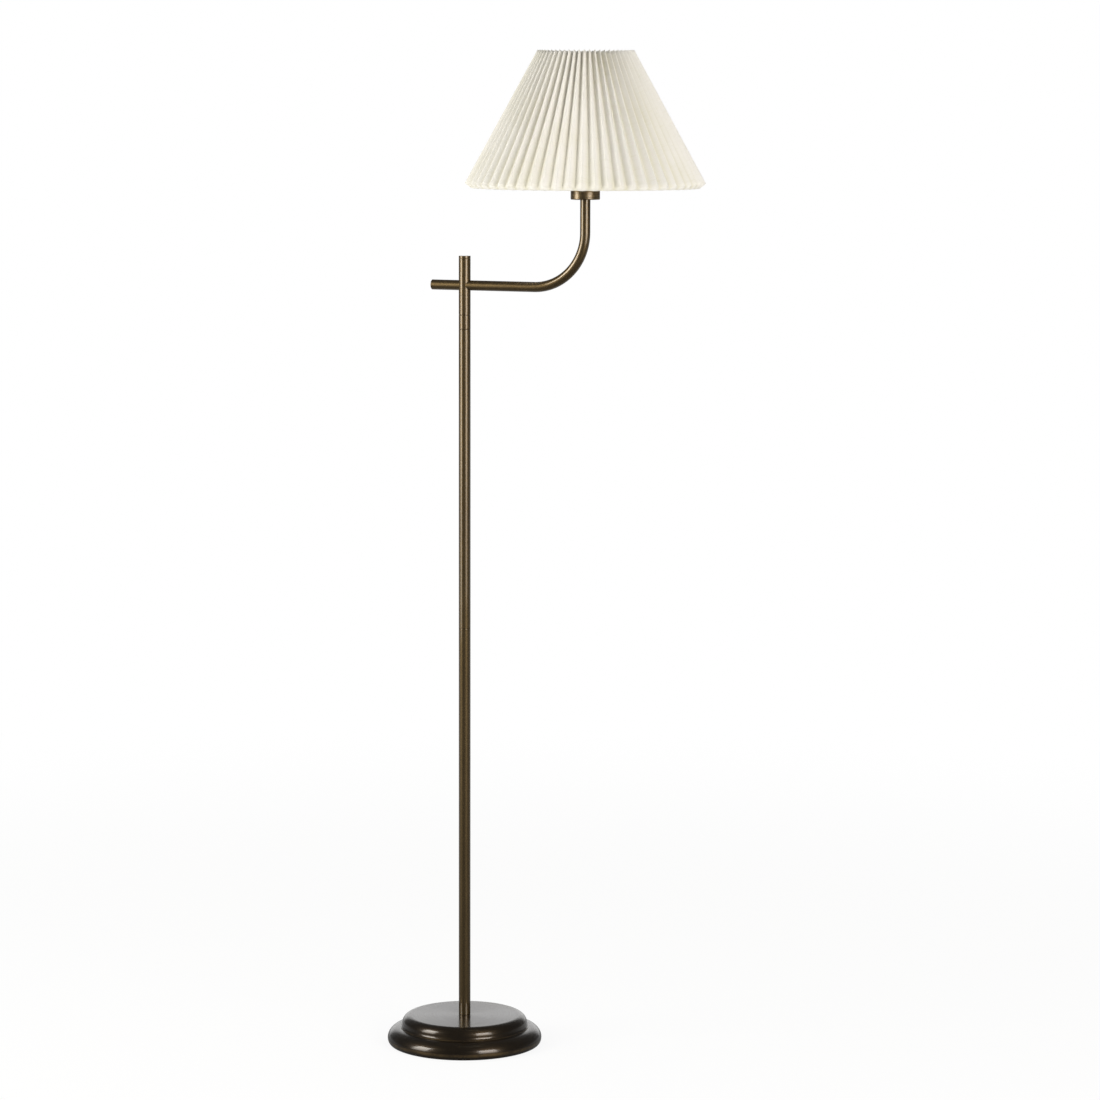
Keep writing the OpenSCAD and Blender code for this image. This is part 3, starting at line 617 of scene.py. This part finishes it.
moulding = dark_moulding()
bright_brass = stamped_brass()
carry(moulding, "socket_body", "switch_block", "switch_knob", "shade_ring_nut")
carry(bright_brass, "screw_shell", "centre_contact", "switch_shaft", "bulb_contact")

# ---- Shade frame ----
# Enamelled steel wire: a ring at the top, a ring in the hem, six ribs between them, and three
# spokes from the bottom ring to the flat fitter ring that sits on the socket's shoulder.


def white_enamel():
    """White stoved enamel, slightly thick and uneven over the wire."""
    material, wire, place = new_material("white enamel")
    orange_peel = wire.node("ShaderNodeTexNoise", Scale=700.0, Detail=2.0, Vector=place)
    age = wire.node("ShaderNodeTexNoise", Scale=25.0, Detail=4.0, Vector=place)
    finish_with(wire,
                Base_Color=age.between(0.4, 0.75).mix(rgb(0.78, 0.77, 0.73), rgb(0.68, 0.66, 0.59)),
                Roughness=age.between(0.3, 0.7, 0.28, 0.42),
                Normal=wire.node("ShaderNodeBump", Strength=0.15, Distance=0.0001, Height=orange_peel))
    return material


carry(white_enamel(), "shade_fitter", "shade_bottom_ring", "shade_top_ring", "shade_ribs")

# ---- Pleated shade ----
# Ivory cloth on a stiff backing, folded into 58 sharp pleats and stitched round the two rings.
# Each side of a pleat keeps its width, so the folds are deep at the top and open at the hem.

cloth_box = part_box("shade_fabric")
shade_top = cloth_box[1].z
pleats, side_width = 58, 0.0111
top_radius, hem_radius, shade_rise = 0.0717, 0.1793, 0.1966
hem_allowance, cloth_gauge = 0.012, 0.0005
slope = math.atan((hem_radius - top_radius) / shade_rise)
cloth_width, cloth_height = 2 * pleats * side_width, shade_rise / math.cos(slope) + hem_allowance


def fold_depth(radius):
    """Depth of a fold whose ridge is at a radius, when its two sides keep their width. The pitch
    is taken about half way into the fold."""
    middle = radius - 0.45 * side_width * math.cos(slope)
    half_pitch = math.pi * middle / pleats
    return math.sqrt(side_width ** 2 - half_pitch ** 2)


def pleated_cloth():
    """The node tree that folds a flat grid into the shade's cloth. The folds are pressed a little
    flat at the top, and the hem's roll holds them deeper below."""
    tree = bpy.data.node_groups.new("pleated cloth", "GeometryNodeTree")
    pressed_flat, held_deep = 0.92, 1.2
    sizes = {"Pleats": pleats, "Top radius": top_radius, "Hem radius": hem_radius, "Rise": shade_rise,
             "Top depth": fold_depth(top_radius) * pressed_flat,
             "Hem depth": fold_depth(hem_radius) * held_deep,
             "Slope": slope, "Centre": reach * MM, "Hem height": shade_top - shade_rise,
             "Wire radius": 0.002, "Wire inset": 0.0024, "Wire drop": 0.0003, "Ridge ease": 0.0018,
             "Valley ease": 0.0012, "Waver": 0.16, "Steps per pleat": 16, "Rows": 44, "Seed": 7}
    for name, value in sizes.items():
        kind = "NodeSocketInt" if isinstance(value, int) else "NodeSocketFloat"
        tree.interface.new_socket(name, in_out="INPUT", socket_type=kind).default_value = value
    tree.interface.new_socket("Cloth", in_out="INPUT", socket_type="NodeSocketMaterial")
    tree.interface.new_socket("Geometry", in_out="OUTPUT", socket_type="NodeSocketGeometry")
    wire = Wire(tree)
    given = tree.nodes.new("NodeGroupInput").outputs
    size = {name: Wire(tree, given[name]) for name in list(sizes) + ["Cloth"]}
    columns = size["Pleats"] * size["Steps per pleat"] + 1
    grid = wire.node("GeometryNodeMeshGrid", Size_X=1.0, Size_Y=1.0, Vertices_X=columns,
                     Vertices_Y=size["Rows"])
    flat = wire.node("GeometryNodeInputPosition")
    across = wire.node("ShaderNodeSeparateXYZ", output=0, Vector=flat) + 0.5
    down = 0.5 - wire.node("ShaderNodeSeparateXYZ", output=1, Vector=flat)
    # Each fold has its own small error in place, shared by both sides that meet there
    fold = across * size["Pleats"] * 2
    index = fold.math("FLOOR")
    count = size["Pleats"] * 2

    def error(which, salt):
        return wire.node("ShaderNodeTexWhiteNoise", {"noise_dimensions": "2D"}, Vector=wire.node(
            "ShaderNodeCombineXYZ", X=(which + 0.5).math("MODULO", count), Y=size["Seed"] + salt)) - 0.5

    part = fold - index
    stray = error(index, 0.25) * (1 - part) + error(index + 1, 0.25) * part
    dip = error(index, 0.75) * (1 - part) + error(index + 1, 0.75) * part
    # 0 on a ridge, 1 in a valley, with a tight round at each fold
    crisp = 0.985
    swing = (fold * math.pi).math("COSINE") * crisp
    into = 0.5 - swing.math("ARCSINE") / (2 * math.asin(crisp))
    # The straight sides, then the hem that rolls under the bottom wire
    hem_start, roll_from, roll_through, roll_blend = 0.93, math.radians(-8), math.radians(-92), 0.35
    fall = (down / hem_start).math("MINIMUM", 1)
    under = ((down - hem_start) / (1 - hem_start)).math("MAXIMUM", 0)
    depth = (size["Top depth"] * (1 - fall) + size["Hem depth"] * fall) * (1 + dip * size["Waver"])
    lean_out, lean_down = size["Slope"].math("COSINE"), size["Slope"].math("SINE")
    ridge_r = size["Top radius"] * (1 - fall) + size["Hem radius"] * fall
    ridge_z = size["Hem height"] + size["Rise"] * (1 - fall)
    side_r = ridge_r - into * depth * lean_out
    side_z = ridge_z - into * depth * lean_down
    wire_r = (size["Hem radius"] - size["Hem depth"] * lean_out
              - size["Wire radius"] - size["Wire inset"])
    wire_z = size["Hem height"] - size["Hem depth"] * lean_down - size["Wire drop"]
    roll_angle = under * roll_through + roll_from
    lift = size["Wire radius"] + size["Ridge ease"] * (1 - into) + size["Valley ease"] * into
    roll_r = wire_r + lift * roll_angle.math("COSINE")
    roll_z = wire_z + lift * roll_angle.math("SINE")
    turned = under.between(0, roll_blend)
    radius = side_r * (1 - turned) + roll_r * turned
    height = side_z * (1 - turned) + roll_z * turned
    angle = (across + stray * size["Waver"] / (size["Pleats"] * 2)) * (2 * math.pi)
    # The UV map is the flat cloth in metres, so it is stored before the cloth is folded
    mapped = wire.node("GeometryNodeStoreNamedAttribute", {"data_type": "FLOAT2", "domain": "CORNER"},
                       Geometry=grid, Name="UVMap", Value=wire.node(
        "ShaderNodeCombineXYZ", X=across * cloth_width, Y=down * cloth_height))
    placed = wire.node("GeometryNodeSetPosition", Geometry=mapped, Position=wire.node(
        "ShaderNodeCombineXYZ", X=size["Centre"] + radius * angle.math("COSINE"),
        Y=radius * angle.math("SINE"), Z=height))
    joined = wire.node("GeometryNodeMergeByDistance", Geometry=placed, Distance=0.00002)
    smooth = wire.node("GeometryNodeSetShadeSmooth", Geometry=joined)
    real = wire.node("GeometryNodeRealizeInstances", Geometry=smooth)
    dressed = wire.node("GeometryNodeSetMaterial", Geometry=real, Material=size["Cloth"])
    wire.node("NodeGroupOutput", Geometry=dressed)
    return tree


def ivory_cloth():
    """Plain-woven ivory cotton: warp and weft, slubs, and painted shade that darkens and yellows the
    fold valleys.
    """
    material, wire, place = new_material("ivory cloth")
    skin = wire.node("ShaderNodeTexCoord", output=2)
    warp = stretched_noise(wire, skin, (2400, 60, 1), 2.0)
    weft = stretched_noise(wire, skin, (60, 2400, 1), 2.0)
    slubs = stretched_noise(wire, skin, (30, 500, 1), 3.0)
    age = wire.node("ShaderNodeTexNoise", Scale=14.0, Detail=3.0, Vector=place)
    weave = warp * 0.5 + weft * 0.5
    across = wire.node("ShaderNodeSeparateXYZ", output=0, Vector=skin)
    down = wire.node("ShaderNodeSeparateXYZ", output=1, Vector=skin)
    # Painted shade: the fold valleys are darker and yellower, more so toward the hem
    fold_shade = ((across / side_width).math("PINGPONG", 1).between(0.3, 1.0)
               * down.between(0, cloth_height, 0.25, 0.55, soft=False))
    tone = ((weave - 0.5) * 0.4 + slubs.between(0.55, 0.75, 0, 0.2) + age.between(0.4, 0.7, 0, 0.2)
            + fold_shade)
    colour = tone.between(0, 1, soft=False).mix(rgb(0.735, 0.715, 0.66), rgb(0.60, 0.57, 0.42))
    finish_with(wire, Base_Color=colour, Roughness=0.92, Sheen_Weight=0.15, Sheen_Roughness=0.5,
                Normal=wire.node("ShaderNodeBump", Strength=0.35, Distance=0.00015,
                                 Height=weave + slubs * 0.4))
    return material


cloth = ivory_cloth()
folded = bpy.data.objects.new("folded", bpy.data.meshes.new("folded"))
bpy.context.scene.collection.objects.link(folded)
folding = folded.modifiers.new("folding", "NODES")
folding.node_group = pleated_cloth()
for item in folding.node_group.interface.items_tree:
    if item.in_out == "INPUT" and item.name == "Cloth":
        folding[item.identifier] = cloth
bpy.context.view_layer.update()
cloth_mesh = bpy.data.meshes.new_from_object(
    folded.evaluated_get(bpy.context.evaluated_depsgraph_get()))
cloth_mesh.name = "pleated_shade"
folded.modifiers.remove(folding)
bpy.data.objects.remove(folded)
shade = new_piece("pleated_shade", cloth_mesh, "arm", cloth, "ivory_fabric", "shade_fabric")
gauge = shade.modifiers.new("gauge", "SOLIDIFY")
gauge.thickness, gauge.offset = cloth_gauge, -1

# ---- Bulb ----
# A frosted glass bulb on a stamped aluminium cap. The cap screws into the socket until its brass
# tip meets the centre contact.


def frosted_glass():
    """Glass with a milky coat inside."""
    material, wire, place = new_material("frosted glass")
    frost = wire.node("ShaderNodeTexNoise", Scale=500.0, Detail=3.0, Vector=place)
    finish_with(wire,
                Base_Color=frost.between(0.3, 0.7).mix(rgb(0.86, 0.86, 0.84), rgb(0.80, 0.80, 0.78)),
                Roughness=frost.between(0.3, 0.7, 0.2, 0.32), Coat_Weight=1.0, Coat_Roughness=0.04,
                Subsurface_Weight=0.2, Subsurface_Radius=(0.004, 0.004, 0.004),
                Normal=wire.node("ShaderNodeBump", Strength=0.04, Distance=0.0001, Height=frost))
    return material


def cap_aluminium():
    """Thin stamped aluminium, dull where it has been screwed in and out."""
    material, wire, place = new_material("cap aluminium")
    rub = wire.node("ShaderNodeTexNoise", Scale=1.0, Detail=4.0, Vector=wire.node(
        "ShaderNodeMapping", Vector=place, Scale=(60, 60, 900)))
    finish_with(wire, Metallic=1.0,
                Base_Color=rub.between(0.35, 0.7).mix(rgb(0.78, 0.78, 0.79), rgb(0.60, 0.60, 0.61)),
                Roughness=rub.between(0.3, 0.7, 0.25, 0.42),
                Normal=wire.node("ShaderNodeBump", Strength=0.2, Distance=0.0001, Height=rub))
    return material


carry(frosted_glass(), "bulb_glass")
carry(cap_aluminium(), "bulb_cap")
